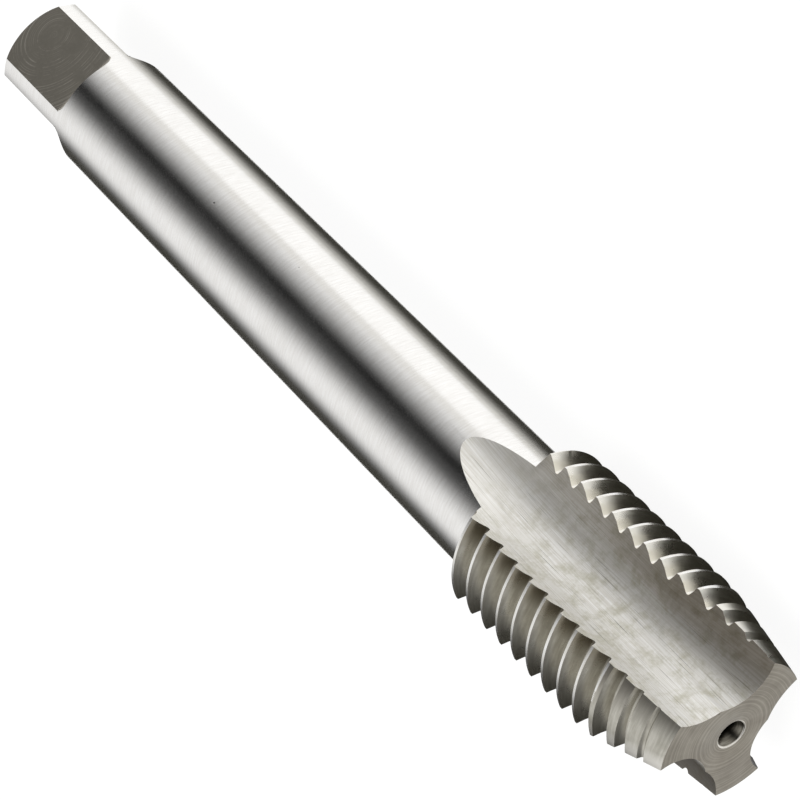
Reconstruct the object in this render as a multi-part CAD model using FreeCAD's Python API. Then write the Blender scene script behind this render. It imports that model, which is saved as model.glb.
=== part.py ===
import FreeCAD, Part
import math
import os

# A machine tap for a coarse metric thread: three straight flutes, a spiral point and a lead taper.
# It is one piece of high speed steel. It lies along +X, drive end at the origin, one flute down.
# Lengths are in millimetres and angles in degrees.

# Whole tool
overall_length = 160.0
shank_diameter = 18.0

# Thread
thread_diameter = 24.0
thread_pitch = 3.0
thread_angle = 60.0
thread_crest_flat = 0.375
thread_root_flat = 0.25
thread_start_turn = 0.735         # where on the tip's face the groove begins, as part of a turn
thread_length = 39.9              # from the tip to where the shoulder meets the shank
shoulder_lean = 28.0              # how far the shoulder leans from square to the axis

# Lead taper at the tip
lead_length = 10.8
tip_diameter = 20.2
lead_relief = 0.45                # how far each land's taper is off centre, to clear its heel
lead_relief_angle = 60.0          # from a land's cutting edge to the way its taper is moved

# Flutes
flute_count = 3
core_diameter = 10.6
flute_heel_radius = 7.6
flute_face_radius = 5.6
flute_length = 27.5               # full depth, from the tip
flute_wheel_radius = 62.0         # run-out of the flute onto the shank

# Spiral point, ground into each flute at a slant
point_length = 17.0
point_core_diameter = 9.2
point_groove_radius = 5.3
point_turn = 16.0                 # how far round the groove has moved at the tip

# Drive square on the shank's end
square_across_flats = 14.5
square_length = 18.0
square_end_radius = 1.9
square_turn = 45.75               # from the lowest flute's core to one flat
drive_crown_radius = 11.5         # the end is crowned, round a point on the axis
drive_crown_length = 3.0

# Centre holes in both ends
centre_pilot_diameter = 1.8
centre_cone_diameter = 3.6
centre_cone_angle = 60.0
centre_pilot_length = 2.4
centre_rim_width = 0.2

# Cutting shapes reach this far past the steel, and thread grooves this far round inside each flute
margin = 1.0
groove_overhang = 0.2
groove_inset = 10.0

tip = overall_length
thread_radius = thread_diameter / 2
shank_radius = shank_diameter / 2
outside = thread_radius + 2 * margin
shoulder_start = tip - thread_length
diagonal = math.sqrt(0.5)
axis = FreeCAD.Vector(0, 0, 1)
origin = FreeCAD.Vector(0, 0, 0)


def at(radius, angle, height):
    """A point on the standing tool, by radius, angle round the axis and height."""
    turned = math.radians(angle)
    return FreeCAD.Vector(radius * math.cos(turned), radius * math.sin(turned), height)


def turned_solid(outline, curved_side=None, middle=None):
    """A solid of revolution from (radius, height) points. One side may be an arc through a middle point."""
    points = [FreeCAD.Vector(radius, 0, height) for radius, height in outline]
    sides = [Part.LineSegment(start, end) for start, end in zip(points, points[1:] + points[:1])]
    if curved_side is not None:
        through = FreeCAD.Vector(middle[0], 0, middle[1])
        sides[curved_side] = Part.Arc(points[curved_side], through, points[curved_side + 1])
    face = Part.Face(Part.Wire([side.toShape() for side in sides]))
    return face.revolve(origin, axis, 360)


def angle_on_circle(radius, centre_distance, arc_radius):
    """Where an arc centred out on a line through the axis crosses a circle round the axis."""
    cosine = (radius ** 2 + centre_distance ** 2 - arc_radius ** 2) / (2 * radius * centre_distance)
    return math.degrees(math.acos(cosine))


heel_centre = core_diameter / 2 + flute_heel_radius
face_centre = core_diameter / 2 + flute_face_radius
heel_half = angle_on_circle(thread_radius, heel_centre, flute_heel_radius)
face_half = angle_on_circle(thread_radius, face_centre, flute_face_radius)
flute_step = 360 / flute_count
# The tool lies on the lands beside flute 0, so that flute's gap is centred straight down.
first_flute = 270 - (heel_half - face_half) / 2
flute_angles = [first_flute + flute_step * index for index in range(flute_count)]


def make_blank():
    """The turned blank: crowned drive end, shank, leaning shoulder and full thread diameter."""
    shoulder_run = (thread_radius - shank_radius) * math.tan(math.radians(shoulder_lean))
    crown_centre = drive_crown_length + math.sqrt(drive_crown_radius ** 2 - shank_radius ** 2)
    end_radius = math.sqrt(drive_crown_radius ** 2 - crown_centre ** 2)
    crown_start = math.asin(end_radius / drive_crown_radius)
    crown_end = math.asin(shank_radius / drive_crown_radius)
    half_way = (crown_start + crown_end) / 2
    crown_middle = (drive_crown_radius * math.sin(half_way),
                    crown_centre - drive_crown_radius * math.cos(half_way))
    return turned_solid([
        (0, 0),
        (end_radius, 0),
        (shank_radius, drive_crown_length),
        (shank_radius, shoulder_start),
        (thread_radius, shoulder_start + shoulder_run),
        (thread_radius, tip),
        (0, tip),
    ], 1, crown_middle)


def make_lead_cut(flute_angle):
    """What the lead taper takes off the land before one flute: a sector less an off-centre cone."""
    slope = (thread_radius - tip_diameter / 2) / lead_length
    back = lead_length + 2 * lead_relief / slope + margin
    drop = lead_relief * math.cos(math.radians(lead_relief_angle))
    nominal = tip_diameter / 2 - drop
    offset = at(lead_relief, flute_angle - face_half + lead_relief_angle, tip - back)
    cone = Part.makeCone(nominal + slope * back, nominal - slope * margin, back + margin, offset, axis)
    foot = at(0, 0, tip - back + margin / 4)
    sector = Part.makeCylinder(outside, back + margin / 2, foot, axis, flute_step)
    sector.rotate(origin, axis, flute_angle - flute_step)
    return sector.cut(cone)


def make_groove_piece():
    """One land's share of one turn of the thread groove: its section swept along a short helix."""
    lean = math.tan(math.radians(thread_angle / 2))
    half_root = thread_root_flat / 2
    half_mouth = (thread_pitch - thread_crest_flat) / 2
    root_radius = thread_radius - (half_mouth - half_root) / lean
    half_top = half_mouth + groove_overhang * lean
    top_radius = thread_radius + groove_overhang
    section = Part.makePolygon([
        FreeCAD.Vector(top_radius, 0, -half_top),
        FreeCAD.Vector(root_radius, 0, -half_root),
        FreeCAD.Vector(root_radius, 0, half_root),
        FreeCAD.Vector(top_radius, 0, half_top),
        FreeCAD.Vector(top_radius, 0, -half_top),
    ])
    span = flute_step - 2 * groove_inset
    path = Part.makeHelix(thread_pitch, thread_pitch * span / 360, thread_radius)
    return Part.Wire(path.Edges).makePipeShell([section], True, True)


def make_thread_grooves():
    """Every turn of the groove on every land. Each piece ends in the open flutes beside its land."""
    piece = make_groove_piece()
    turns = math.ceil(thread_length / thread_pitch) + 3
    grooves = []
    for flute_angle in flute_angles:
        start = flute_angle + groove_inset
        first = tip + thread_pitch * (thread_start_turn + start / 360)
        for turn in range(turns):
            groove = piece.copy()
            groove.rotate(origin, axis, start)
            groove.translate(FreeCAD.Vector(0, 0, first - thread_pitch * turn))
            grooves.append(groove)
    return grooves


def make_flute_cut(flute_angle):
    """One straight flute: two arcs that meet at the core, then the run-out that the wheel leaves."""
    rim = heel_centre + margin
    bottom = FreeCAD.Vector(core_diameter / 2, 0, 0)
    heel_side = FreeCAD.Vector(heel_centre, flute_heel_radius, 0)
    face_side = FreeCAD.Vector(face_centre, -flute_face_radius, 0)
    heel_middle = heel_side + FreeCAD.Vector(-diagonal, diagonal - 1, 0) * flute_heel_radius
    face_middle = face_side + FreeCAD.Vector(-diagonal, 1 - diagonal, 0) * flute_face_radius
    heel_top = FreeCAD.Vector(rim, flute_heel_radius, 0)
    face_top = FreeCAD.Vector(rim, -flute_face_radius, 0)
    section = Part.Face(Part.Wire([
        Part.Arc(bottom, heel_middle, heel_side).toShape(),
        Part.makeLine(heel_side, heel_top),
        Part.makeLine(heel_top, face_top),
        Part.makeLine(face_top, face_side),
        Part.Arc(face_side, face_middle, bottom).toShape(),
    ]))
    section.translate(FreeCAD.Vector(0, 0, tip - flute_length))
    straight = section.extrude(FreeCAD.Vector(0, 0, flute_length + margin))
    wheel = FreeCAD.Vector(core_diameter / 2 + flute_wheel_radius, 0, tip - flute_length)
    rise = shank_radius + margin - core_diameter / 2
    run_out_angle = math.degrees(math.acos(1 - rise / flute_wheel_radius))
    run_out = section.revolve(wheel, FreeCAD.Vector(0, -1, 0), run_out_angle)
    flute = straight.fuse(run_out)
    flute.rotate(origin, axis, flute_angle)
    return flute


def make_point_cut(flute_angle):
    """The slanted round groove of the spiral point in one flute."""
    inside = point_groove_radius + face_centre - flute_face_radius
    start_distance = inside + 2 * (flute_face_radius - point_groove_radius)
    start = at(start_distance, flute_angle, tip - point_length)
    end = at(point_core_diameter / 2 + point_groove_radius, flute_angle - point_turn, tip)
    direction = end - start
    unit = direction / direction.Length
    back = start - unit * margin
    return Part.makeCylinder(point_groove_radius, direction.Length + 4 * margin, back, unit)


def make_flat_cut(flat_angle):
    """What one flat of the drive square takes off, ending in the round that the cutter leaves."""
    flat = square_across_flats / 2
    reach = shank_radius + margin
    inner = FreeCAD.Vector(flat, -reach, -margin)
    corner = FreeCAD.Vector(flat, -reach, square_length)
    middle = corner + FreeCAD.Vector(1 - diagonal, 0, diagonal) * square_end_radius
    end = corner + FreeCAD.Vector(1, 0, 1) * square_end_radius
    high = FreeCAD.Vector(reach + square_end_radius, -reach, end.z)
    low = FreeCAD.Vector(reach + square_end_radius, -reach, -margin)
    side = Part.Face(Part.Wire([
        Part.makeLine(inner, corner),
        Part.Arc(corner, middle, end).toShape(),
        Part.makeLine(end, high),
        Part.makeLine(high, low),
        Part.makeLine(low, inner),
    ]))
    cut = side.extrude(FreeCAD.Vector(0, 2 * reach, 0))
    cut.rotate(origin, axis, flat_angle)
    return cut


def make_centre_hole():
    """A centre hole, mouth at height 0 and pilot below: rim bevel, cone and blind flat pilot."""
    pilot = centre_pilot_diameter / 2
    cone = centre_cone_diameter / 2
    cone_depth = (cone - pilot) / math.tan(math.radians(centre_cone_angle / 2))
    rim_depth = centre_rim_width / math.tan(math.radians(centre_cone_angle))
    bottom = rim_depth + cone_depth + centre_pilot_length
    return turned_solid([
        (0, margin),
        (cone + centre_rim_width, margin),
        (cone + centre_rim_width, 0),
        (cone, -rim_depth),
        (pilot, -rim_depth - cone_depth),
        (pilot, -bottom),
        (0, -bottom),
    ])


def make_tap():
    """The whole standing tool, drive end at height 0."""
    tool = make_blank()
    for flute_angle in flute_angles:
        tool = tool.cut(make_lead_cut(flute_angle))
    for quarter in range(4):
        tool = tool.cut(make_flat_cut(first_flute + square_turn + 90 * quarter))
    tip_hole = make_centre_hole()
    tip_hole.translate(FreeCAD.Vector(0, 0, tip))
    drive_hole = make_centre_hole()
    drive_hole.rotate(origin, FreeCAD.Vector(1, 0, 0), 180)
    tool = tool.cut([tip_hole, drive_hole])
    tool = tool.cut([make_flute_cut(flute_angle) for flute_angle in flute_angles])
    tool = tool.cut([make_point_cut(flute_angle) for flute_angle in flute_angles])
    return tool.cut(make_thread_grooves())


def lay_down(shape):
    """Turn the standing tool so that its axis is +X and its angles run from +Y to +Z."""
    shape.Placement = FreeCAD.Placement(origin, FreeCAD.Rotation(FreeCAD.Vector(1, 1, 1), 120))
    return shape


os.makedirs("parts", exist_ok=True)
tap = lay_down(make_tap())
tap.exportStep("parts/tap.step")
print("tap", len(tap.Solids), "solid, volume", round(tap.Volume, 1), "valid", tap.isValid())
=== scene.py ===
import math
import bmesh
import bpy
import numpy as np
from mathutils import Matrix, Vector


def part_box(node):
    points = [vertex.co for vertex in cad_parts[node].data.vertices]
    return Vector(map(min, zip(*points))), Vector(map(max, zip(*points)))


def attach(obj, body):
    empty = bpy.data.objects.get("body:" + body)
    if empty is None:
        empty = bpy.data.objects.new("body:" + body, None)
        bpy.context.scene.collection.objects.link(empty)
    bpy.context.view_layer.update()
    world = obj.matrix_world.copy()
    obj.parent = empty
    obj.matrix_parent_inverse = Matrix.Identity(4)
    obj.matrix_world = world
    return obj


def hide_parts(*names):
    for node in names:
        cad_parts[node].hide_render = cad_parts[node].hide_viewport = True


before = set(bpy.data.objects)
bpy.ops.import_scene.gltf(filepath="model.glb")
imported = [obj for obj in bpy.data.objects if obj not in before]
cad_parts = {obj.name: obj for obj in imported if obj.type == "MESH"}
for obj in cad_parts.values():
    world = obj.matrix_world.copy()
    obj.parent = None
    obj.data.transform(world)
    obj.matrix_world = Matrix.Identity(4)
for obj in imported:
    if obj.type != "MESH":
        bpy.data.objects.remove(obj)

# A machine tap of ground high speed steel on a white table. Lengths are in millimetres and angles in
# degrees until a mesh is made. Angles round the tool run from +Y to +Z, and the tip points along +X.

mm = 0.001
near, exact = 1e-6, 1e-9       # how close counts as touching, for places found by steps and for set ones
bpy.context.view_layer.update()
tapLow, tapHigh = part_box("tap")


def linearColour(hexText):
    # sRGB hex to linear light
    parts = np.array([int(hexText[i:i + 2], 16) for i in (1, 3, 5)]) / 255.0
    return tuple(np.where(parts <= 0.04045, parts / 12.92, ((parts + 0.055) / 1.055) ** 2.4)) + (1.0,)


def addNode(tree, kind, settings=None, links=None):
    # one shader node: attributes or input values by name, then what feeds its inputs
    node = tree.nodes.new(kind)
    for key, value in (settings or {}).items():
        if isinstance(key, str) and hasattr(node, key):
            setattr(node, key, value)
        else:
            node.inputs[key].default_value = value
    for key, source in (links or {}).items():
        tree.links.new(source, node.inputs[key])
    return node


# The tap

tap = {
    "length": tapHigh.x / mm,
    "threadRadius": (tapHigh.y - tapLow.y) / 2 / mm,
    "shankRadius": 9.0,
    "pitch": 3.0,
    "flankAngle": 30.0,        # half of the thread's angle
    "crestFlat": 0.375,
    "rootRound": 0.3,
    "startTurn": 0.735,        # where on the tip's face the groove begins, as part of a turn
    "threadLength": 39.9,
    "shoulderLean": 28.0,
    "leadLength": 10.8,
    "tipRadius": 10.1,
    "leadRelief": 0.45,
    "leadReliefAngle": 60.0,
    "coreRadius": 5.3,
    "heelRadius": 7.6,
    "faceRadius": 5.6,
    "fluteLength": 27.5,
    "insideFlute": 11.5,       # a place in the open flute, from which its surfaces are seen in every direction
    "wheelRadius": 62.0,
    "pointLength": 17.0,
    "pointCoreRadius": 4.6,
    "pointRadius": 5.3,
    "pointTurn": 16.0,
    "flat": 7.25,              # from the axis to each flat of the square
    "squareLength": 18.0,
    "squareRound": 1.9,
    "squareTurn": 45.75,
    "crownRadius": 11.5,       # the drive end is crowned, round a point on the axis
    "crownLength": 3.0,
    "holeRimRadius": 2.0,
    "holeRimAngle": 60.0,      # of the rim and the cone, from the hole's axis
    "holeConeRadius": 1.8,
    "holeConeAngle": 30.0,
    "holePilotRadius": 0.9,
    "holePilotLength": 2.4,
}
mesh = {
    "landColumns": 46,
    "fluteColumns": 50,
    "flatColumns": 58,         # 58 on each flat and 14 on each corner make as many as 46 and 50 three times
    "joinAt": 118.5,           # plain rings change to rows that follow the thread here
    "joinBlend": 3.0,
    "rootSteps": (-60, -30, 0, 30, 60),
    "probes": 241,             # places tried along one pitch, to find where the groove meets the blank
    "rounds": 6,
    "bisections": 40,
    "crownRings": 4,
    "squareRings": 8,
    "roundRings": 5,
    "shankRings": 24,
    "runOutRings": 56,
    "holeSides": 64,
    "repeatedWithin": 1e-5,
    "sharpFrom": 35.0,         # an edge that folds by more than this is sharp
    "leastFold": 0.03,         # and a marked edge from this on, as the difference of its faces' normals
}
# the finish of each face, which is also its place in the list of materials
surface = {"shank": 0, "flat": 1, "flute": 2, "flank": 3, "crest": 4, "end": 5, "hole": 6, "lead": 7,
           "shoulder": 8}
# corners that lie on an edge, so that the mesh keeps it. The spiral point's edge is soft and the others sharp
onEdge = {"square": 1, "flute": 2, "shoulder": 3, "point": 5}

tip = tap["length"]
pitch = tap["pitch"]
flankSlope = 1 / math.tan(math.radians(tap["flankAngle"]))
rootPoint = tap["threadRadius"] - (pitch - tap["crestFlat"]) / 2 * flankSlope
shoulderLow = tip - tap["threadLength"]
shoulderSlope = 1 / math.tan(math.radians(tap["shoulderLean"]))
shoulderHigh = shoulderLow + (tap["threadRadius"] - tap["shankRadius"]) / shoulderSlope
heelCentre = tap["coreRadius"] + tap["heelRadius"]
faceCentre = tap["coreRadius"] + tap["faceRadius"]


def angleOnCircle(radius, distance, arc):
    # where an arc whose centre is at that distance crosses a circle round the axis
    return math.degrees(math.acos((radius ** 2 + distance ** 2 - arc ** 2) / (2 * radius * distance)))


heelHalf = angleOnCircle(tap["threadRadius"], heelCentre, tap["heelRadius"])
faceHalf = angleOnCircle(tap["threadRadius"], faceCentre, tap["faceRadius"])
firstFlute = 270 - (heelHalf - faceHalf) / 2
fluteAngles = firstFlute - 240 + 120 * np.arange(3)      # the flute after each land
columns = 3 * (mesh["landColumns"] + mesh["fluteColumns"])
turnCount = math.ceil(tap["threadLength"] / pitch) + 1
crestRows = 3                                            # of each turn's rows, those on its crest
turnRows = len(mesh["rootSteps"]) + 3 + crestRows        # the others are the groove's
rowCount = turnRows * turnCount + 1


def threadRadiusAt(offset):
    # radius of the groove at an offset along the axis from its middle: straight flanks, round root
    arc = tap["rootRound"]
    across = np.abs(offset)
    centre = rootPoint + arc / math.sin(math.radians(tap["flankAngle"]))
    root = centre - np.sqrt(np.maximum(arc ** 2 - across ** 2, 0))
    reach = arc * math.cos(math.radians(tap["flankAngle"]))
    return np.where(across < reach, root, rootPoint + across * flankSlope)


def grooveOffset(x, angle):
    # offset from the middle of the nearest groove, whose middle climbs one pitch a turn
    middle = tip + pitch * (tap["startTurn"] + angle / 360)
    return (x - middle + pitch / 2) % pitch - pitch / 2


def blankRadius(x, angle, fluteAngle):
    # the turned blank: thread diameter, off-centre lead cone, shoulder cone and shank, the least of them
    slope = (tap["threadRadius"] - tap["tipRadius"]) / tap["leadLength"]
    nominal = tap["tipRadius"] - tap["leadRelief"] * math.cos(math.radians(tap["leadReliefAngle"]))
    cone = nominal + slope * (tip - x)
    turn = np.radians(angle - (fluteAngle - faceHalf + tap["leadReliefAngle"]))
    off = tap["leadRelief"]
    lead = off * np.cos(turn) + np.sqrt(np.maximum(cone ** 2 - (off * np.sin(turn)) ** 2, 0))
    shoulder = tap["shankRadius"] + np.maximum(x - shoulderLow, 0) * shoulderSlope
    return np.minimum(np.minimum(lead, shoulder), tap["threadRadius"])


def landRadius(x, angle, fluteAngle):
    return np.minimum(blankRadius(x, angle, fluteAngle), threadRadiusAt(grooveOffset(x, angle)))


def flutePoint(arc, x):
    # a point of the flute's section at x, as out from the axis, to the side, and how much deeper the spiral
    # point is there. arc is the angle on the section's own arcs, face side below 0 and heel side above. Past
    # its full depth each point climbs on a circle of the wheel. The spiral point is a slanted cylinder: along
    # the ray from a place in the open flute, the further of the two surfaces is taken.
    size = np.where(arc < 0, tap["faceRadius"], tap["heelRadius"])
    out = tap["coreRadius"] + size * (1 - np.cos(arc))
    side = size * np.sin(arc)
    past = np.maximum(tip - tap["fluteLength"] - x, 0)
    wheel = tap["coreRadius"] + tap["wheelRadius"]
    out = wheel - np.sqrt((wheel - out) ** 2 - past ** 2)
    middle = tap["insideFlute"]
    reach = np.hypot(out - middle, side)
    wayOut, waySide = (out - middle) / reach, side / reach

    # the cylinder's line, from its start above the flute's bottom to the tip, where it is deeper and turned
    begin = tip - tap["pointLength"]
    beginOut = tap["coreRadius"] + 2 * tap["faceRadius"] - tap["pointRadius"]
    endOut = tap["pointCoreRadius"] + tap["pointRadius"]
    turned = math.radians(tap["pointTurn"])
    line = np.array([tap["pointLength"], endOut * math.cos(turned) - beginOut, -endOut * math.sin(turned)])
    line /= np.linalg.norm(line)

    # the ray leaves it where its distance from the line is the cylinder's radius, the far root of a quadratic
    above = middle - beginOut
    along = (x - begin) * line[0] + above * line[1]
    wayAlong = wayOut * line[1] + waySide * line[2]
    a = 1 - wayAlong ** 2
    b = above * wayOut - along * wayAlong
    c = (x - begin) ** 2 + above ** 2 - along ** 2 - tap["pointRadius"] ** 2
    pointReach = (-b + np.sqrt(np.maximum(b * b - a * c, 0))) / a
    deeper = np.where(x > begin, pointReach - reach, -1.0)
    reach = reach + np.maximum(deeper, 0)
    return middle + wayOut * reach, waySide * reach, deeper


def angleInFlute(arc, x):
    # how far round the axis that point lies from the flute's middle
    out, side = flutePoint(arc, x)[:2]
    return np.degrees(np.arctan2(side, out))


def bisect(low, high, test):
    # halves each interval towards where the test turns from False (low) to True (high)
    low, high = np.array(low, float), np.array(high, float)
    for step in range(mesh["bisections"]):
        half = (low + high) / 2
        hit = test(half)
        high = np.where(hit, half, high)
        low = np.where(hit, low, half)
    return (low + high) / 2


def fluteEdge(x, way, fluteAngle, landFlute, radiusAt):
    # arc angle where the flute meets the land's own surface, on its face side (way -1) or heel side (way 1)
    def outside(size):
        out, side = flutePoint(way * size, x)[:2]
        angle = fluteAngle + np.degrees(np.arctan2(side, out))
        return np.hypot(out, side) > radiusAt(x, angle, landFlute)
    return way * bisect(np.zeros_like(x), np.full_like(x, math.pi / 2), outside)


def threadRows(angle, landFlute):
    # rows that follow the thread, as x for each row and land column, from the shank to the tip
    turns = np.arange(turnCount, 0, -1)[:, None]
    middle = tip + pitch * (tap["startTurn"] + angle / 360) - pitch * turns
    probe = np.linspace(-pitch / 2, pitch / 2, mesh["probes"])[:, None, None]
    gap = threadRadiusAt(probe) - blankRadius(middle + probe, angle, landFlute)
    cut = gap < 0
    some = cut.any(0)
    lowest = np.argmin(gap, 0)
    first = np.where(some, np.argmax(cut, 0), lowest)
    last = np.where(some, len(probe) - 1 - np.argmax(cut[::-1], 0), lowest)

    def crossing(index, before):
        index = np.clip(index, 1, len(probe) - 2)
        other = index - 1 if before else index + 1
        here = np.take_along_axis(gap, index[None], 0)[0]
        there = np.take_along_axis(gap, other[None], 0)[0]
        share = np.where(some, here / np.where(here == there, 1, here - there), 0)
        return probe[index, 0, 0] + (probe[other, 0, 0] - probe[index, 0, 0]) * share

    left, right = crossing(first, True), crossing(last, False)
    arc = tap["rootRound"] * np.sin(np.radians(mesh["rootSteps"]))
    rows = []
    for index in range(turnCount):
        low, high = left[index], right[index]
        nextLow = left[index + 1] + pitch if index + 1 < turnCount else low + pitch
        root = [np.clip(step, low, high) for step in arc]
        offsets = [low, (low + root[0]) / 2, *root, (high + root[-1]) / 2, high,
                   high + (nextLow - high) / 3, high + (nextLow - high) * 2 / 3]
        rows += [middle[index] + offset for offset in offsets]
    rows.append(np.full_like(angle, tip))
    x = np.clip(np.array(rows), mesh["joinAt"], tip)
    for crease in (shoulderLow, shoulderHigh):
        nearest = np.argmin(np.abs(x - crease), 0)
        onBlank = threadRadiusAt(grooveOffset(crease, angle)) > blankRadius(crease, angle, landFlute)
        each = np.arange(len(angle))[onBlank]
        x[nearest[onBlank], each] = crease
    return np.sort(x, 0)


def makeThreadGrid():
    # the threaded part: land columns and flute columns by turns. The edges between them depend on the
    # surface there, so a few rounds bring them to rest. Each row closes one pitch back, in the lowest flute.
    lands, flutes = mesh["landColumns"], mesh["fluteColumns"]
    share = np.linspace(0, 1, lands + 1)
    before = np.full((rowCount, 3), -faceHalf)
    after = np.full((rowCount, 3), heelHalf)
    for attempt in range(mesh["rounds"]):
        landX, landAngle = [], []
        for land, flute in enumerate(fluteAngles):
            start = flute - 120 + after[:, (land + 2) % 3]
            stop = flute + before[:, land]
            angle = start[:, None] + (stop - start)[:, None] * share
            # each row keeps its own angles: rows are worked out once for all and read at those
            base = threadRows(angle.mean(0), flute)
            x = base + pitch * (angle - angle.mean(0)) / 360
            fixed = (base <= mesh["joinAt"] + near) | (base >= tip - near)
            for crease in (shoulderLow, shoulderHigh):
                fixed |= np.abs(base - crease) < exact
            landX.append(np.clip(np.where(fixed, base, x), mesh["joinAt"], tip))
            landAngle.append(angle)
        faceArc, heelArc = np.empty((rowCount, 3)), np.empty((rowCount, 3))
        for land, flute in enumerate(fluteAngles):
            x = landX[land][:, -1]
            faceArc[:, land] = fluteEdge(x, -1, flute, flute, landRadius)
            before[:, land] = angleInFlute(faceArc[:, land], x)
            nextLand = (land + 1) % 3
            wrap = 360 if nextLand == 0 else 0
            x = landX[nextLand][:, 0]
            heelArc[:, land] = fluteEdge(x, 1, flute - wrap, fluteAngles[nextLand], landRadius)
            after[:, land] = angleInFlute(heelArc[:, land], x)
    xAll, radiusAll, angleAll, markAll, acrossAll = [], [], [], [], []
    for land, flute in enumerate(fluteAngles):
        x, angle = landX[land], landAngle[land]
        crease = (np.abs(x - shoulderLow) < exact) | (np.abs(x - shoulderHigh) < exact)
        xAll.append(x[:, :-1])
        angleAll.append(angle[:, :-1])
        radiusAll.append(landRadius(x, angle, flute)[:, :-1])
        markAll.append(np.where(crease, onEdge["shoulder"], 0)[:, :-1])
        fromFlute = np.zeros(x[:, :-1].shape + (2,))
        fromFlute[:, 0, 0] = heelArc[:, (land + 2) % 3] * tap["heelRadius"]
        fromFlute[..., 1] = np.radians(angle[:, -1:] - angle[:, :-1]) * tap["threadRadius"]
        acrossAll.append(fromFlute)
        nextLand = (land + 1) % 3
        share = np.linspace(0, 1, flutes + 1)
        x = landX[land][:, -1:] + (landX[nextLand][:, :1] - landX[land][:, -1:]) * share
        low = faceArc[:, land:land + 1] * tap["faceRadius"]
        high = heelArc[:, land:land + 1] * tap["heelRadius"]
        run = low + (high - low) * share
        arc = np.where(run < 0, run / tap["faceRadius"], run / tap["heelRadius"])
        arc, mark = snapPointCrease(arc, x)
        out, side = flutePoint(arc, x)[:2]
        xAll.append(x[:, :-1])
        angleAll.append((flute + np.degrees(np.arctan2(side, out)))[:, :-1])
        radiusAll.append(np.hypot(out, side)[:, :-1])
        markAll.append(mark[:, :-1])
        run = arc * np.where(arc < 0, tap["faceRadius"], tap["heelRadius"])
        acrossAll.append(np.stack([run, 0 * run], -1)[:, :-1])
    return [np.concatenate(part, 1) for part in (xAll, radiusAll, angleAll, markAll, acrossAll)]


def snapPointCrease(arc, x):
    # moves the nearest column of each row onto the ridge between the flute and the spiral point
    mark = np.zeros(arc.shape, int)
    on = flutePoint(arc, x)[2][:, 1:-2] > 0
    rows = np.nonzero(on.any(1))[0]
    column = on.shape[1] - np.argmax(on[rows, ::-1], 1)
    here, there = arc[rows, column], arc[rows, column + 1]
    place = x[rows, column]
    ridge = bisect(here, there, lambda half: flutePoint(half, place)[2] <= 0)
    column = np.where(np.abs(ridge - here) < np.abs(there - ridge), column, column + 1)
    keep = column < arc.shape[1] - 2
    arc[rows[keep], column[keep]] = ridge[keep]
    mark[rows[keep], column[keep]] = onEdge["point"]
    return arc, mark


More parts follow.
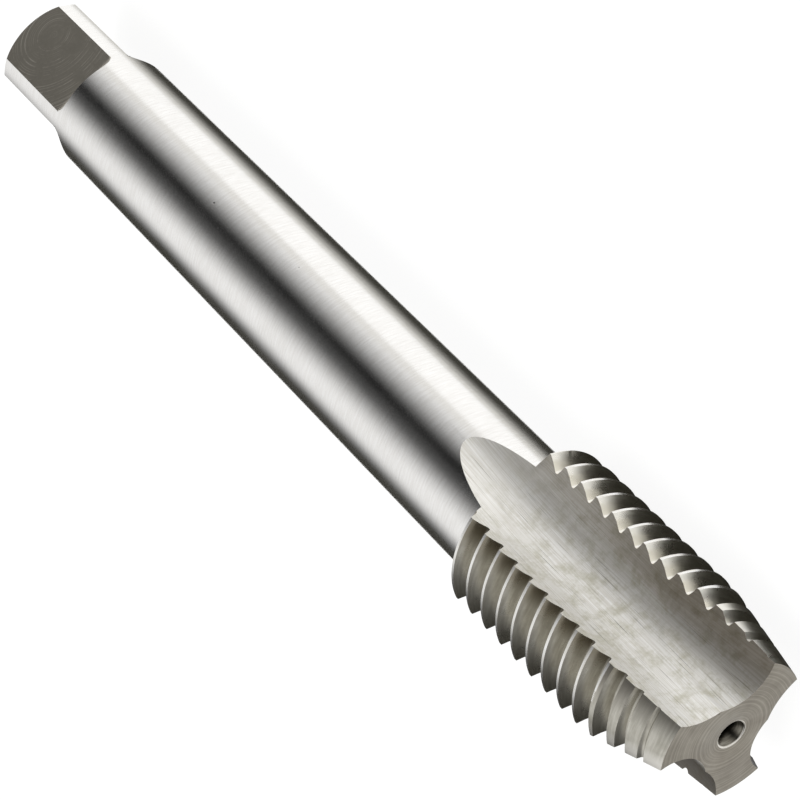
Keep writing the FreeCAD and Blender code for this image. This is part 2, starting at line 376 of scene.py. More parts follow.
def makeShankGrid(joinAngle, joinRadius, joinAcross):
    # the shank, the drive square and the ends of the flutes, as plain rings. In the square and at each flute's
    # tip the rings stand where the edge crosses a column, so that edges run from corner to corner.
    flat, shank, squareLength = tap["flat"], tap["shankRadius"], tap["squareLength"]
    half = mesh["flatColumns"] // 2
    flatHalf = math.degrees(math.acos(flat / shank))
    crossings = flatHalf / half * np.arange(1, half + 1)
    crownRadius = tap["crownRadius"]
    crownCentre = tap["crownLength"] + math.sqrt(crownRadius ** 2 - shank ** 2)
    crownX = crownCentre - np.sqrt(crownRadius ** 2 - (flat / np.cos(np.radians(crossings))) ** 2)
    flatStart = crownCentre - math.sqrt(crownRadius ** 2 - flat ** 2)
    roundAt = shank * np.cos(np.radians(crossings[-2::-1]))
    centre = flat + tap["squareRound"]
    roundX = squareLength + np.sqrt(tap["squareRound"] ** 2 - (centre - roundAt) ** 2)
    squareEnd = squareLength + math.sqrt(tap["squareRound"] ** 2 - (centre - shank) ** 2)
    wheel = tap["coreRadius"] + tap["wheelRadius"]
    fluteTip = tip - tap["fluteLength"] - math.sqrt(tap["wheelRadius"] ** 2 - (wheel - shank) ** 2)
    ringStep = (mesh["joinAt"] - fluteTip) / mesh["runOutRings"] ** 2
    rings = np.concatenate([
        np.linspace(0, flatStart, mesh["crownRings"]), crownX,
        np.linspace(tap["crownLength"], squareLength, mesh["squareRings"])[1:],
        squareLength + (roundX[0] - squareLength) * np.linspace(0, 1, mesh["roundRings"])[1:-1],
        roundX, [squareEnd],
        np.linspace(squareEnd, fluteTip, mesh["shankRings"])[1:],
        fluteTip + ringStep * np.arange(1, mesh["runOutRings"] + 1) ** 2])
    x = np.repeat(rings[:, None], columns, 1)

    # column angles: those of the join, then even ones, then those of the square
    even = []
    for flute in fluteAngles:
        even.append(np.linspace(flute - 120 + heelHalf, flute - faceHalf, mesh["landColumns"] + 1)[:-1])
        even.append(np.linspace(flute - faceHalf, flute + heelHalf, mesh["fluteColumns"] + 1)[:-1])
    even = np.concatenate(even)
    firstFlat = firstFlute + tap["squareTurn"] - 360
    square = []
    for quarter in range(4):
        middle = firstFlat + 90 * quarter
        square.append(np.linspace(middle - flatHalf, middle + flatHalf, mesh["flatColumns"] + 1)[:-1])
        corner = columns // 4 - mesh["flatColumns"]
        square.append(np.linspace(middle + flatHalf, middle + 90 - flatHalf, corner + 1)[:-1])
    square = np.concatenate(square)
    shift = int(np.argmin(np.abs(square - even[0])))
    square = np.concatenate([square[shift:], square[:shift] + 360])
    toJoin = np.clip((x - (mesh["joinAt"] - mesh["joinBlend"])) / mesh["joinBlend"], 0, 1)
    toSquare = np.clip((fluteTip - x) / (fluteTip - squareEnd), 0, 1)
    toSquare = toSquare ** 2 * (3 - 2 * toSquare)
    angle = even + (joinAngle - even) * toJoin + (square - even) * toSquare

    # the blank turned round a point on the axis at its end, and the flats with the cutter's round behind them
    foot = np.sqrt(crownRadius ** 2 - (crownCentre - np.minimum(x, tap["crownLength"])) ** 2)
    fromFlat = (angle - firstFlat + 45) % 90 - 45
    past = np.clip(x - squareLength, 0, squareEnd - squareLength)
    depth = centre - np.sqrt(tap["squareRound"] ** 2 - past ** 2)
    flatRadius = depth / np.cos(np.radians(fromFlat))
    inSquare = x < squareEnd + exact
    radius = np.where(inSquare, np.minimum(foot, flatRadius), foot)
    mark = np.where(inSquare & (np.abs(foot - flatRadius) < near), onEdge["square"], 0)
    zone = np.where(inSquare & (flatRadius < foot - near), surface["flat"], surface["shank"])
    across = np.zeros(x.shape + (2,))

    for row in np.nonzero(rings > fluteTip + exact)[0]:
        place = rings[row]
        for flute in fluteAngles:
            arcs = [fluteEdge(np.array([place]), way, flute, flute, lambda *spot: shank) for way in (-1, 1)]
            edges = [float(angleInFlute(arc, place)[0]) for arc in arcs]
            turned = (angle[row] - flute + 180) % 360 - 180
            for edge, arc, size in zip(edges, arcs, (tap["faceRadius"], tap["heelRadius"])):
                nearest = int(np.argmin(np.abs(turned - edge)))
                angle[row, nearest] += edge - turned[nearest]
                turned[nearest] = edge
                mark[row, nearest] = onEdge["flute"]
                across[row, nearest, 0] = arc[0] * size
            inside = (turned > edges[0] + near) & (turned < edges[1] - near)
            want = turned[inside]
            low, high = (np.full(len(want), arc[0]) for arc in arcs)
            arc = bisect(low, high, lambda half: angleInFlute(half, place) > want)
            radius[row, inside] = np.hypot(*flutePoint(arc, place)[:2])
            zone[row, inside] = surface["flute"]
            across[row, inside, 0] = arc * np.where(arc < 0, tap["faceRadius"], tap["heelRadius"])
    angle[-1], radius[-1], across[-1] = joinAngle, joinRadius, joinAcross
    return x, radius, angle, mark, across, zone


def stitch(grid, mark):
    # two triangles for each cell, parted along a marked edge where one crosses the cell
    right, rightMark = np.roll(grid, -1, 1), np.roll(mark, -1, 1)
    a, b, c, d = grid[:-1], right[:-1], right[1:], grid[1:]
    aMark, bMark, cMark, dMark = mark[:-1], rightMark[:-1], rightMark[1:], mark[1:]
    other = (bMark > 0) & (bMark == dMark) & ~((aMark > 0) & (aMark == cMark))
    one = np.where(other[..., None], np.stack([a, b, d], -1), np.stack([a, b, c], -1))
    two = np.where(other[..., None], np.stack([b, c, d], -1), np.stack([a, c, d], -1))
    return np.stack([one, two], 2)


def fillRing(outer, inner):
    # flat triangles between a closed outline and the hole in it
    work = bmesh.new()
    loops = [[work.verts.new(point) for point in loop] for loop in (outer, inner)]
    edges = [work.edges.new((loop[i], loop[(i + 1) % len(loop)])) for loop in loops for i in range(len(loop))]
    work.verts.index_update()
    bmesh.ops.triangle_fill(work, use_beauty=True, edges=edges)
    faces = np.array([[vert.index for vert in face.verts] for face in work.faces])
    work.free()
    return faces


def fillEnd(points, ring, rim):
    # the end face: the ring's repeated corners are dropped first
    step = np.linalg.norm(points[ring] - points[np.roll(ring, 1)], axis=1)
    ring = ring[step > mesh["repeatedWithin"]]
    both = np.concatenate([ring, rim])
    return both[fillRing(points[ring], points[rim])]


def makeHole(face, way):
    # a centre hole turned about the axis, as rings from its rim to the middle of its flat bottom
    rim, cone, pilot = tap["holeRimRadius"], tap["holeConeRadius"], tap["holePilotRadius"]
    rimDepth = (rim - cone) / math.tan(math.radians(tap["holeRimAngle"]))
    coneDepth = rimDepth + (cone - pilot) / math.tan(math.radians(tap["holeConeAngle"]))
    bottom = coneDepth + tap["holePilotLength"]
    profile = np.array([(rim, 0), (cone, rimDepth), (pilot, coneDepth), (pilot, bottom), (0, bottom)])
    turn = np.linspace(0, 2 * math.pi, mesh["holeSides"], endpoint=False)
    radius, depth = profile[:, :1], profile[:, 1:]
    x = face - way * depth + 0 * turn
    points = np.stack([x, radius * np.cos(turn), radius * np.sin(turn)], -1)
    grid = np.arange(x.size).reshape(x.shape)
    faces = stitch(grid, np.zeros_like(grid)).reshape(-1, 3)
    return points.reshape(-1, 3), faces[:, ::way]


def surfaceKinds(x, zone, faces):
    # the finish of each triangle. In the plain rings it is that of its corners, and in the threaded part it
    # goes by the column, by the row in each turn and by the place along the tool
    place = x.reshape(-1)[faces].mean(-1)
    joinRow = len(zone) - 1
    plain = zone.reshape(-1)[faces[:joinRow]].max(-1)
    crown = (plain == surface["shank"]) & (place[:joinRow] < tap["crownLength"])
    plain = np.where(crown, surface["shoulder"], plain)
    place = place[joinRow:]
    row = np.arange(len(place))[:, None, None]
    onLand = (np.arange(columns) % (columns // 3) < mesh["landColumns"])[:, None]
    crest = np.where(place < shoulderHigh, surface["shoulder"], surface["crest"])
    crest = np.where(place > tip - tap["leadLength"], surface["lead"], crest)
    land = np.where(row % turnRows < turnRows - crestRows, surface["flank"], crest)
    land = np.where(place > shoulderLow, land, surface["shank"])
    return np.concatenate([plain, np.where(onLand, land, surface["flute"])])


threadParts = makeThreadGrid()
*shankParts, shankZone = makeShankGrid(threadParts[2][0], threadParts[1][0], threadParts[4][0])
print("tap: thread rows", threadParts[0].shape, "shank rings", shankParts[0].shape)


def makeTap():
    # both grids, joined at one ring, then the end faces and the centre holes
    x, radius, angle, mark, across = [np.concatenate([shank, thread[1:]])
                                      for shank, thread in zip(shankParts, threadParts)]
    turn = np.radians(angle)
    points = np.stack([x, radius * np.cos(turn), radius * np.sin(turn)], -1).reshape(-1, 3)
    grid = np.arange(x.size).reshape(x.shape)
    faces = stitch(grid, mark)
    kind = surfaceKinds(x, shankZone, faces).reshape(-1)
    faces, mark, across = faces.reshape(-1, 3), mark.reshape(-1), across.reshape(-1, 2)
    for face, way, ring in ((tip, 1, grid[-1]), (0.0, -1, grid[0])):
        holePoints, holeFaces = makeHole(face, way)
        holeFaces = holeFaces + len(points)
        rim = len(points) + np.arange(mesh["holeSides"])
        points = np.concatenate([points, holePoints])
        mark = np.concatenate([mark, np.zeros(len(holePoints), int)])
        across = np.concatenate([across, np.zeros((len(holePoints), 2))])
        filled = fillEnd(points, ring, rim)
        a, b, c = (points[filled[:, corner]] for corner in range(3))
        inward = np.cross(b - a, c - a)[:, :1] * way < 0
        filled = np.where(inward, filled[:, ::-1], filled)
        faces = np.concatenate([faces, filled, holeFaces])
        inRim = np.arange(len(holeFaces)) < 2 * mesh["holeSides"]
        kind = np.concatenate([kind, np.full(len(filled), surface["end"]),
                               np.where(inRim, surface["shoulder"], surface["hole"])])
    return points, faces, kind, mark, across


def meshFrom(name, points, faces, kind, mark, across, materials):
    # merges repeated corners, drops empty triangles, marks sharp edges and gives each face its material
    keys, first, back = np.unique(np.round(points, 6), axis=0, return_index=True, return_inverse=True)
    back = back.reshape(-1)
    faces = back[faces]
    full = (faces[:, 0] != faces[:, 1]) & (faces[:, 1] != faces[:, 2]) & (faces[:, 0] != faces[:, 2])
    faces, kind = faces[full], kind[full]
    marks = np.zeros(len(keys), int)
    np.maximum.at(marks, back, mark)
    data = bpy.data.meshes.new(name)
    data.from_pydata(keys * mm, [], faces.tolist())
    data.polygons.foreach_set("use_smooth", np.ones(len(faces), bool))
    data.polygons.foreach_set("material_index", kind.astype(np.int32))
    for material in materials:
        data.materials.append(material)
    data.update()
    ends = np.empty(len(data.edges) * 2, np.int32)
    data.edges.foreach_get("vertices", ends)
    ends = marks[ends.reshape(-1, 2)]
    loopEdge = np.empty(len(data.loops), np.int32)
    data.loops.foreach_get("edge_index", loopEdge)
    normal = np.empty(len(faces) * 3, np.float32)
    data.polygons.foreach_get("normal", normal)
    normal = np.repeat(normal.reshape(-1, 3), 3, 0)
    # how far the normals of an edge's two faces lie apart
    low, high = np.full((len(ends), 3), 2.0), np.full((len(ends), 3), -2.0)
    np.minimum.at(low, loopEdge, normal)
    np.maximum.at(high, loopEdge, normal)
    fold = np.linalg.norm(high - low, axis=1)
    sharp = fold > 2 * math.sin(math.radians(mesh["sharpFrom"] / 2))
    marked = (ends[:, 0] > 0) & (ends[:, 0] == ends[:, 1]) & (ends[:, 0] != onEdge["point"])
    attribute = data.attributes.new("sharp_edge", "BOOLEAN", "EDGE")
    attribute.data.foreach_set("value", sharp | (marked & (fold > mesh["leastFold"])))
    # for the wheel's marks: along the tool, across the flute, and round the land from its cutting edge
    attribute = data.attributes.new("wheelMarks", "FLOAT_VECTOR", "POINT")
    place = np.column_stack([keys[:, 0], across[first]])
    attribute.data.foreach_set("vector", place.astype(np.float32).reshape(-1))
    thing = bpy.data.objects.new(name, data)
    bpy.context.scene.collection.objects.link(thing)
    print(name, "triangles", len(faces), "open edges", int((np.bincount(loopEdge) != 2).sum()))
    return thing


# How each surface was made. Lines are the marks that a wheel or cutter leaves, as (along X, across) in mm:
# short along X and long across they run round the tool, and the other way about they run along it. The real
# marks are finer than the picture can show, so they are drawn two or three times as coarse. Clouds and pits
# are the size of their pattern, and their shares say how strong or how rare they are.
finishes = {
    "shank": {"colour": "#fdfcfa", "worn": "#f5f3f0", "rough": (0.18, 0.23), "lines": (0.3, 3.0),
              "depth": 0.00015, "cloud": 9.0, "cloudShare": 0.05, "stain": "#c9c6bf",
              "pits": 2.6, "pitShare": 0.92},
    "flat": {"colour": "#f6f0e4", "worn": "#c9c3b6", "rough": (0.41, 0.48), "lines": (0.5, 0.5),
             "depth": 0.001, "cloud": 4.0, "cloudShare": 0.2, "stain": "#a5a095",
             "pits": 3.0, "pitShare": 0.93},
    "flute": {"colour": "#fdfcf9", "worn": "#e4e1da", "rough": (0.46, 0.56), "lines": (9.0, 0.16),
              "depth": 0.002, "cloud": 1.7, "cloudShare": 0.6, "stain": "#bbb79e",
              "pits": 2.0, "pitShare": 0.86,
              # painted shade on the flute: a darker face side, and a darker back near the tip
              "metal": 0.66, "shade": "#7f7a73", "backShade": "#40392f", "scratch": "#5b574d",
              "scratches": (7.0, 0.13)},
    "flank": {"colour": "#cbc8bd", "worn": "#b7b3a8", "rough": (0.25, 0.34), "lines": (0.2, 3.5),
              "depth": 0.001, "cloud": 2.5, "cloudShare": 0.3, "stain": "#8f8a7b",
              "pits": 2.2, "pitShare": 0.9,
              # a painted highlight along the cutting edge, stronger on the front land, and painted shade at the
              # heel
              "margin": "#f8f5ec", "marginWidth": (0.8, 3.0), "marginSide": (-3.0, 4.0),
              "heel": "#9d9686", "heelShadeWidth": (8.4, 10.8)},
    "crest": {"colour": "#ffffff", "worn": "#eeebe3", "rough": (0.2, 0.3), "lines": (0.2, 2.0),
              "depth": 0.001, "cloud": 1.5, "cloudShare": 0.15, "stain": "#c0bbb0",
              "pits": 2.5, "pitShare": 0.92},
    "end": {"colour": "#a29d92", "worn": "#7d776d", "rough": (0.36, 0.46), "lines": (4.0, 4.0),
            "depth": 0.001, "cloud": 3.0, "cloudShare": 0.2, "stain": "#878275",
            "pits": 2.0, "pitShare": 0.9},
    "hole": {"colour": "#8e8a80", "worn": "#605c53", "rough": (0.22, 0.32), "lines": (0.15, 2.0),
             "depth": 0.001, "cloud": 2.0, "cloudShare": 0.3, "stain": "#77736a",
             "pits": 2.0, "pitShare": 0.95, "deep": "#1e1c18"},
    "lead": {"colour": "#d5d2c8", "worn": "#bcb9ae", "rough": (0.3, 0.4), "lines": (0.25, 3.0),
             "depth": 0.0008, "cloud": 2.2, "cloudShare": 0.3, "stain": "#a5a193",
             "pits": 2.5, "pitShare": 0.9,
             # a painted highlight along the cutting edge and painted shade at the heel
             "margin": "#f4f1e9", "marginWidth": (0.8, 2.5),
             "heel": "#9d988e", "heelShadeWidth": (5.0, 9.5)},
    "shoulder": {"colour": "#efece6", "worn": "#c8c4ba", "rough": (0.25, 0.35), "lines": (0.2, 3.0),
                 "depth": 0.001, "cloud": 3.0, "cloudShare": 0.2, "stain": "#a5a095",
                 "pits": 2.2, "pitShare": 0.9},
}
# circles that a facing or milling cut leaves round a centre, in the plane or space that the mask leaves
facing = {"mask": (0, 1, 1), "centre": (0, 0, 0), "spacing": 0.32, "depth": 0.003, "share": 0.6,
          "tones": (0.4, 0.66), "broken": 0.3}
milling = {"mask": (1, 1, 1), "centre": (6.5, 6.7, 3.4), "spacing": 0.36, "depth": 0.004, "share": 0.9,
           "tones": (0.52, 0.68), "broken": 1.0}
# what all finishes share: where a pattern turns from one tone to the other, the places of wear and dirt, and
# those of painted shade
wearAndShade = {
    "lines": {"From Min": 0.38, "From Max": 0.66},
    "ringGaps": {"From Min": 0.42, "From Max": 0.56},
    "cloud": {"From Min": 0.45, "From Max": 0.7},
    "gloss": {"From Min": 0.3, "From Max": 0.7},
    "pit": {"From Min": 0.03, "From Max": 0.075, "To Min": 1.0, "To Max": 0.0},
    "pitColour": "#4b4840",
    "pitDark": 0.75,
    "pitDepth": 0.02,
    "scratch": {"From Min": 0.66, "From Max": 0.74, "To Max": 0.55},
    "cleanRunOut": {"From Min": tip - 44, "From Max": tip - 28, "To Min": 0.25},
    # painted shade in the flute: towards the cutting face's side and the tip, and at the back near the tip
    "shadeToFace": {"From Min": 0.5, "From Max": -5.5},
    "shadeToTip": {"From Min": tip - 32, "From Max": tip - 14, "To Min": 0.75},
    "shadeAtBack": {"From Min": -2.5, "From Max": -4.5, "To Max": 0.9},
    "shadeAtBackTip": {"From Min": tip - 32, "From Max": tip - 12},
    "inHole": {"From Min": tip / 2 - 0.5, "From Max": tip / 2 - 1.4},
}


def sizedCoords(tree, along, across, onFlute=False):
    # Object coordinates counted in steps of that many millimetres, or the flute's own way along and across it
    if onFlute:
        source = addNode(tree, "ShaderNodeAttribute", {"attribute_name": "wheelMarks"}).outputs["Vector"]
        step = (1 / along, 1 / across, 1.0)
    else:
        source = addNode(tree, "ShaderNodeTexCoord").outputs["Object"]
        step = (1 / (along * mm), 1 / (across * mm), 1 / (across * mm))
    return addNode(tree, "ShaderNodeMapping", {"Scale": step}, {0: source}).outputs[0]


def addRings(tree, rings, marks, height, cloud):
    # circles round a centre, broken in places, over the lines of the cut and in its relief
    plane = addNode(tree, "ShaderNodeVectorMath", {"operation": "MULTIPLY", 1: rings["mask"]},
                    {0: addNode(tree, "ShaderNodeTexCoord").outputs["Object"]}).outputs[0]
    reach = addNode(tree, "ShaderNodeVectorMath", {"operation": "DISTANCE", 1: Vector(rings["centre"]) * mm},
                    {0: plane}).outputs["Value"]
    scale = 1 / (rings["spacing"] * mm)
    ring = addNode(tree, "ShaderNodeTexNoise", {"noise_dimensions": "1D", "Scale": scale, "Detail": 2.0,
                                                "Roughness": 0.7}, {"W": reach}).outputs["Fac"]
    height = addNode(tree, "ShaderNodeMath", {"operation": "MULTIPLY_ADD", 1: rings["depth"] * mm},
                     {0: ring, 2: height}).outputs[0]
    low, high = rings["tones"]
    tone = addNode(tree, "ShaderNodeMapRange", {"From Min": low, "From Max": high}, {0: ring}).outputs[0]
    gaps = addNode(tree, "ShaderNodeMapRange", {**wearAndShade["ringGaps"], "To Min": 1 - rings["broken"]},
                   {0: cloud}).outputs[0]
    seen = addNode(tree, "ShaderNodeMath", {"operation": "MULTIPLY"}, {0: tone, 1: gaps}).outputs[0]
    marks = addNode(tree, "ShaderNodeMix", {"Factor": rings["share"]}, {2: marks, 3: seen}).outputs[0]
    return marks, height


def steel(name, finish, rings=None):
    # bare metal: marks of the wheel in colour, gloss and relief, soft cloudy patches and a few tiny pits, then
    # stains, scratches, painted shade and painted highlights. Each of these is a layer: its share, colour and
    # way of mixing
    look = finishes[finish]
    onFlute = finish == "flute"
    material = bpy.data.materials.new(name)
    material.use_nodes = True
    tree = material.node_tree
    shader = tree.nodes["Principled BSDF"]
    shader.inputs["Metallic"].default_value = look.get("metal", 1.0)
    place = addNode(tree, "ShaderNodeAttribute", {"attribute_name": "wheelMarks"}).outputs["Vector"]
    along, across, fromEdge = addNode(tree, "ShaderNodeSeparateXYZ", {}, {0: place}).outputs
    if onFlute or "marginSide" in look:
        objectY = addNode(tree, "ShaderNodeSeparateXYZ", {}, {0: sizedCoords(tree, 1.0, 1.0)}).outputs["Y"]
    cloud = addNode(tree, "ShaderNodeTexNoise", {"Scale": 1.0, "Detail": 4.0, "Roughness": 0.65},
                    {"Vector": sizedCoords(tree, look["cloud"], look["cloud"])}).outputs["Fac"]
    lines = addNode(tree, "ShaderNodeTexNoise", {"Scale": 1.0, "Detail": 3.0, "Roughness": 0.6},
                    {"Vector": sizedCoords(tree, *look["lines"], onFlute)}).outputs["Fac"]
    height = addNode(tree, "ShaderNodeMath", {"operation": "MULTIPLY", 1: look["depth"] * mm},
                     {0: lines}).outputs[0]
    marks = addNode(tree, "ShaderNodeMapRange", wearAndShade["lines"], {0: lines}).outputs[0]
    if rings:
        marks, height = addRings(tree, rings, marks, height, cloud)
    colour = addNode(tree, "ShaderNodeMix", {"data_type": "RGBA", 6: linearColour(look["worn"]),
                                             7: linearColour(look["colour"])}, {0: marks}).outputs[2]

    patch = addNode(tree, "ShaderNodeMapRange", {**wearAndShade["cloud"], "To Max": look["cloudShare"]},
                    {0: cloud}).outputs[0]
    if onFlute:
        # the run-out is cleaner than the rest of the flute
        clean = addNode(tree, "ShaderNodeMapRange", wearAndShade["cleanRunOut"], {0: along}).outputs[0]
        patch = addNode(tree, "ShaderNodeMath", {"operation": "MULTIPLY"}, {0: patch, 1: clean}).outputs[0]
    layers = [(patch, look["stain"], "MIX")]
    if "deep" in look:
        # no light reaches the far part of a hole
        inward = addNode(tree, "ShaderNodeMath", {"operation": "SUBTRACT", 1: tip / 2}, {0: along}).outputs[0]
        inward = addNode(tree, "ShaderNodeMath", {"operation": "ABSOLUTE"}, {0: inward}).outputs[0]
        dark = addNode(tree, "ShaderNodeMapRange", wearAndShade["inHole"], {0: inward}).outputs[0]
        layers.append((dark, look["deep"], "MIX"))
    # painted highlight: the lands are lighter near their cutting edges
    if "margin" in look:
        narrow, wide = look["marginWidth"]
        bright = addNode(tree, "ShaderNodeMapRange", {"From Min": wide, "From Max": narrow},
                         {0: fromEdge}).outputs[0]
        if "marginSide" in look:
            # painted highlight: the land at the front is lighter than the one at the back
            low, high = look["marginSide"]
            front = addNode(tree, "ShaderNodeMapRange", {"From Min": low, "From Max": high},
                            {0: objectY}).outputs[0]
            bright = addNode(tree, "ShaderNodeMath", {"operation": "MULTIPLY"},
                             {0: bright, 1: front}).outputs[0]
        layers.append((bright, look["margin"], "MIX"))
    # painted shade: the lands are darker towards their heels
    if "heel" in look:
        low, high = look["heelShadeWidth"]
        far = addNode(tree, "ShaderNodeMapRange", {"From Min": low, "From Max": high}, {0: fromEdge}).outputs[0]
        layers.append((far, look["heel"], "MIX"))
    if onFlute:
        # painted shade: the flute is darkened at the back, near the tip, for the shaded table it mirrors there
        behind = addNode(tree, "ShaderNodeMapRange", wearAndShade["shadeAtBack"], {0: objectY}).outputs[0]
        nearTip = addNode(tree, "ShaderNodeMapRange", wearAndShade["shadeAtBackTip"], {0: along}).outputs[0]
        backShadeShare = addNode(tree, "ShaderNodeMath", {"operation": "MULTIPLY"}, {0: behind, 1: nearTip}).outputs[0]
        layers.append((backShadeShare, look["backShade"], "MIX"))
        # painted shade: the flute is darkened towards the cutting face's side, and more so towards the tip
        side = addNode(tree, "ShaderNodeMapRange", {"interpolation_type": "SMOOTHSTEP", **wearAndShade["shadeToFace"]},
                       {0: across}).outputs[0]
        nearTip = addNode(tree, "ShaderNodeMapRange", wearAndShade["shadeToTip"], {0: along}).outputs[0]
        paintedFaceShade = addNode(tree, "ShaderNodeMath", {"operation": "MULTIPLY"}, {0: side, 1: nearTip}).outputs[0]
        layers.append((paintedFaceShade, look["shade"], "MULTIPLY"))
        fine = addNode(tree, "ShaderNodeTexNoise", {"Scale": 1.0, "Detail": 1.0},
                       {"Vector": sizedCoords(tree, *look["scratches"], True)}).outputs["Fac"]
        scratch = addNode(tree, "ShaderNodeMapRange", wearAndShade["scratch"], {0: fine}).outputs[0]
        layers.append((scratch, look["scratch"], "MIX"))

    # a pit is the middle of a cell, in the few cells whose chance is high enough
    cells = addNode(tree, "ShaderNodeTexVoronoi", {"Scale": 1.0},
                    {"Vector": sizedCoords(tree, look["pits"], look["pits"])})
    spot = addNode(tree, "ShaderNodeMapRange", wearAndShade["pit"], {0: cells.outputs["Distance"]}).outputs[0]
    chance = addNode(tree, "ShaderNodeSeparateColor", {}, {0: cells.outputs["Color"]}).outputs[0]
    some = addNode(tree, "ShaderNodeMath", {"operation": "GREATER_THAN", 1: look["pitShare"]},
                   {0: chance}).outputs[0]
    pit = addNode(tree, "ShaderNodeMath", {"operation": "MULTIPLY"}, {0: spot, 1: some}).outputs[0]
    dark = addNode(tree, "ShaderNodeMath", {"operation": "MULTIPLY", 1: wearAndShade["pitDark"]}, {0: pit}).outputs[0]
    layers.append((dark, wearAndShade["pitColour"], "MIX"))
    for share, tone, blend in layers:
        colour = addNode(tree, "ShaderNodeMix", {"data_type": "RGBA", "blend_type": blend,
                                                 7: linearColour(tone)}, {0: share, 6: colour}).outputs[2]

    low, high = look["rough"]
    gloss = addNode(tree, "ShaderNodeMapRange", {**wearAndShade["gloss"], "To Min": low, "To Max": high}, {0: cloud})
    height = addNode(tree, "ShaderNodeMath", {"operation": "MULTIPLY_ADD", 1: -wearAndShade["pitDepth"] * mm},
                     {0: pit, 2: height}).outputs[0]
    relief = addNode(tree, "ShaderNodeBump", {"Strength": 1.0, "Distance": 1.0}, {"Height": height})
    tree.links.new(colour, shader.inputs["Base Color"])
    tree.links.new(gloss.outputs[0], shader.inputs["Roughness"])
    tree.links.new(relief.outputs[0], shader.inputs["Normal"])
    return material


materials = [
    steel("groundSteelShank", "shank"),              # cylindrical grinding: satin, fine lines round the shank
    steel("milledSteelFlat", "flat", milling),       # face milling: the cutter's arcs cross the flats
    steel("groundSteelFlute", "flute"),              # dull grinding along the flute, a little mottled, with painted shade on its face side and at its back near the tip
    steel("groundSteelFlank", "flank"),              # thread grinding: darker, with lines along the thread, a painted highlight at the cutting edge and painted shade at the heel
    steel("groundSteelCrest", "crest"),              # the brightest surface, only narrow lands of it
    steel("turnedSteelEnd", "end", facing),          # facing cut: fine rings round the centre hole
    steel("drilledSteelHole", "hole"),               # drilled and dull, dark inside
    steel("groundSteelLead", "lead"),                # relief ground, soft and grey, with a painted highlight at the cutting edge and painted shade at the heel
    steel("turnedSteelShoulder", "shoulder"),        # turned, never ground
]
tapBody = meshFrom("tapBody", *makeTap(), materials)
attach(tapBody, "root")
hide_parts("tap")
print("tap body made")


# Table, light and camera

stage = {
    "floorColour": "#f4f4f2",
    "floorSize": 3000.0,
    "floorGlow": 1.03,
    "floorGlowShare": 0.88,
    "cameraPlace": (309.857, 203.017, 182.199),
    "cameraTarget": (93.129, 0.082, -0.091),
    "cameraRoll": -105.6956,        # the tool runs from the picture's upper left to its lower right
    "cameraClip": (0.01, 20),       # in metres
    "lens": 124.1746,
    "lightPlace": (80, -100, 600),
    "lightTarget": (80, 0, 0),
    "lightSize": (700, 500),
    "lightPower": 3.0,
    # light round the tool's axis, from the table's edge at its front (0) over the top to its back (180)
    "bands": {0: 0.8, 10: 0.62, 26: 0.33, 42: 0.05, 58: 0.035, 75: 0.16, 91: 0.5, 107: 0.8, 123: 0.86,
              140: 0.74, 156: 0.26, 172: 0.06, 180: 0.06},
    "tentRadius": 1000.0,
    "tentLength": 12000.0,
    "tentSides": 90,
    # each card's tone and corners, with heights from the table. The first card is a painted shadow of the table
    # under the tool, as its reflection shows it, and the three after it soften its edge; the fifth is the same
    # painted shadow under the thread
    "cards": {
        "shadowCardUnder": ("#3a3934", [(-60, 4.2, 0), (116, 4.2, 0), (116, 8.4, 0), (-60, 8.4, 0)]),
        "shadowCardDim": ("#656460", [(-60, 8.4, 0), (116, 8.4, 0), (116, 10, 0), (-60, 10, 0)]),
        "shadowCardGrey": ("#a3a29e", [(-60, 10, 0), (116, 10, 0), (116, 12, 0), (-60, 12, 0)]),
        "shadowCardPale": ("#d6d5d1", [(-60, 12, 0), (116, 12, 0), (116, 14.5, 0), (-60, 14.5, 0)]),
        "shadowCardThread": ("#3a3934", [(116, 4.2, 0), (163, 4.2, 0), (163, 12.2, 0), (116, 12.5, 0)]),
        "cardFront": ("#e6e5e2", [(-3000, 65, 0), (3000, 65, 0), (3000, 990, 0), (-3000, 990, 0)]),
        "cardBack": ("#3a3934", [(-300, -60, 0), (300, -60, 0), (300, -60, 32), (-300, -60, 32)]),
        "cardBackFloor": ("#3a3934", [(-300, -60, 0), (300, -60, 0), (300, -42, 0), (-300, -42, 0)]),
    },
    "cardLift": 0.05,
}


def addSurface(name, points, faces, materialName):
    # something beside the tool, with an empty material and the socket that its light goes into
    material = bpy.data.materials.new(materialName)
    material.use_nodes = True
    tree = material.node_tree
    tree.nodes.clear()
    data = bpy.data.meshes.new(name)
    data.from_pydata(np.array(points) * mm, [], np.array(faces).tolist())
    data.materials.append(material)
    thing = bpy.data.objects.new(name, data)
    bpy.context.scene.collection.objects.link(thing)
    return thing, tree, addNode(tree, "ShaderNodeOutputMaterial").inputs["Surface"]


def showInReflectionsOnly(thing):
    thing.data.materials[0].cycles.emission_sampling = "NONE"
    thing.visible_camera = False
    thing.visible_diffuse = False
    thing.visible_shadow = False
    thing.visible_transmission = False


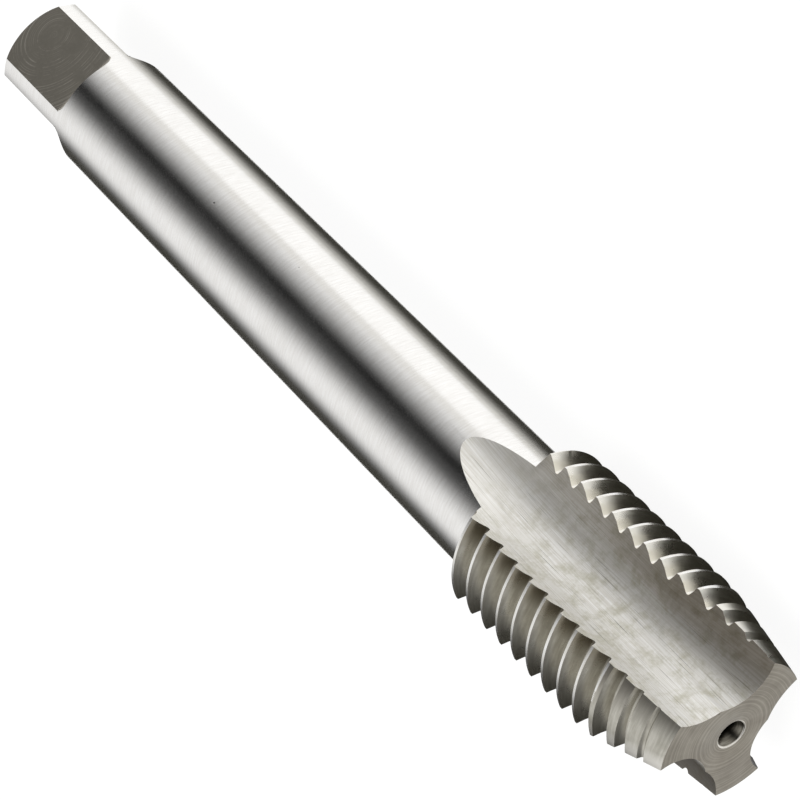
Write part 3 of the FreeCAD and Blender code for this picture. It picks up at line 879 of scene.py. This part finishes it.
def makeFloor():
    # a white table that keeps shadows, and glows for the camera and for what mirrors or shows it
    size, low = stage["floorSize"], tapLow.z / mm
    corners = [(-size, -size, low), (size, -size, low), (size, size, low), (-size, size, low)]
    floor, tree, surfaceIn = addSurface("floor", corners, [range(4)], "whiteTable")
    diffuse = addNode(tree, "ShaderNodeBsdfDiffuse", {"Color": linearColour(stage["floorColour"])})
    glow = addNode(tree, "ShaderNodeEmission", {"Color": (1, 1, 1, 1), "Strength": stage["floorGlow"]})
    path = addNode(tree, "ShaderNodeLightPath").outputs
    seen = addNode(tree, "ShaderNodeMath", {"operation": "MAXIMUM"},
                   {0: path["Is Camera Ray"], 1: path["Is Glossy Ray"]})
    seen = addNode(tree, "ShaderNodeMath", {"operation": "MAXIMUM"},
                   {0: seen.outputs[0], 1: path["Is Transmission Ray"]})
    share = addNode(tree, "ShaderNodeMath", {"operation": "MULTIPLY", 1: stage["floorGlowShare"]},
                    {0: seen.outputs[0]})
    mix = addNode(tree, "ShaderNodeMixShader", {},
                  {0: share.outputs[0], 1: diffuse.outputs[0], 2: glow.outputs[0]})
    tree.links.new(mix.outputs[0], surfaceIn)


def setWorld():
    world = bpy.data.worlds.new("studio")
    world.use_nodes = True
    bpy.context.scene.world = world
    background = world.node_tree.nodes["Background"]
    background.inputs["Color"].default_value = (1, 1, 1, 1)
    background.inputs["Strength"].default_value = 1.0


def addTent():
    # a half round of cloth over the tool, seen only in reflections: long soft lights with dark gaps between
    turn = np.radians(np.linspace(0, 180, stage["tentSides"] + 1))
    radius, half = stage["tentRadius"], stage["tentLength"] / 2
    ring = np.stack([0 * turn, radius * np.cos(turn), radius * np.sin(turn) + tapLow.z / mm], -1)
    points = np.concatenate([ring - (half, 0, 0), ring + (half, 0, 0)])
    first = np.arange(stage["tentSides"])
    faces = np.stack([first, first + 1, first + 1 + len(turn), first + len(turn)], -1)
    tent, tree, surfaceIn = addSurface("tent", points, faces, "tentCloth")
    showInReflectionsOnly(tent)
    place = addNode(tree, "ShaderNodeTexCoord").outputs["Object"]
    parts = addNode(tree, "ShaderNodeSeparateXYZ", {}, {0: place}).outputs
    angle = addNode(tree, "ShaderNodeMath", {"operation": "ARCTAN2"}, {0: parts["Z"], 1: parts["Y"]})
    share = addNode(tree, "ShaderNodeMapRange", {"From Min": 0.0, "From Max": math.pi}, {0: angle.outputs[0]})
    ramp = addNode(tree, "ShaderNodeValToRGB", {}, {0: share.outputs[0]})
    ramp.color_ramp.interpolation = "CARDINAL"
    while len(ramp.color_ramp.elements) < len(stage["bands"]):
        ramp.color_ramp.elements.new(0.5)
    for element, (degrees, level) in zip(ramp.color_ramp.elements, stage["bands"].items()):
        element.position = degrees / 180
        element.color = (level, level, level, 1)
    glow = addNode(tree, "ShaderNodeEmission", {"Strength": 1.0}, {0: ramp.outputs[0]})
    tree.links.new(glow.outputs[0], surfaceIn)


def addCards():
    # dark, grey and pale cards that give the shank its bands from below, seen only in reflections. Those under
    # the tool are a painted shadow of the table beneath it
    low = tapLow.z / mm + stage["cardLift"]
    for name, (tone, corners) in stage["cards"].items():
        card, tree, surfaceIn = addSurface(name, [(x, y, low + z) for x, y, z in corners], [range(4)], name)
        showInReflectionsOnly(card)
        glow = addNode(tree, "ShaderNodeEmission", {"Color": linearColour(tone), "Strength": 1.0})
        tree.links.new(glow.outputs[0], surfaceIn)


def addOverhead():
    # a soft box above and behind the tool, too plain to be seen in it
    data = bpy.data.lights.new("overheadBox", "AREA")
    data.shape = "RECTANGLE"
    data.size, data.size_y = (side * mm for side in stage["lightSize"])
    data.energy = stage["lightPower"]
    light = bpy.data.objects.new("overheadBox", data)
    place, target = Vector(stage["lightPlace"]), Vector(stage["lightTarget"])
    light.location = place * mm
    light.rotation_euler = (target - place).to_track_quat("-Z", "Y").to_euler()
    light.visible_camera = False
    light.visible_glossy = False
    bpy.context.scene.collection.objects.link(light)


def addCamera():
    # aimed at the tool's middle, then rolled about its own line of sight
    data = bpy.data.cameras.new("camera")
    data.lens = stage["lens"]
    data.clip_start, data.clip_end = stage["cameraClip"]
    camera = bpy.data.objects.new("camera", data)
    place, target = Vector(stage["cameraPlace"]), Vector(stage["cameraTarget"])
    level = (target - place).to_track_quat("-Z", "Y").to_matrix().to_4x4()
    roll = Matrix.Rotation(math.radians(stage["cameraRoll"]), 4, "Z")
    camera.matrix_world = Matrix.Translation(place * mm) @ level @ roll
    bpy.context.scene.collection.objects.link(camera)
    bpy.context.scene.camera = camera


makeFloor()
setWorld()
addTent()
addCards()
addOverhead()
addCamera()
bpy.context.scene.view_settings.view_transform = "Standard"
print("table, light and camera made")
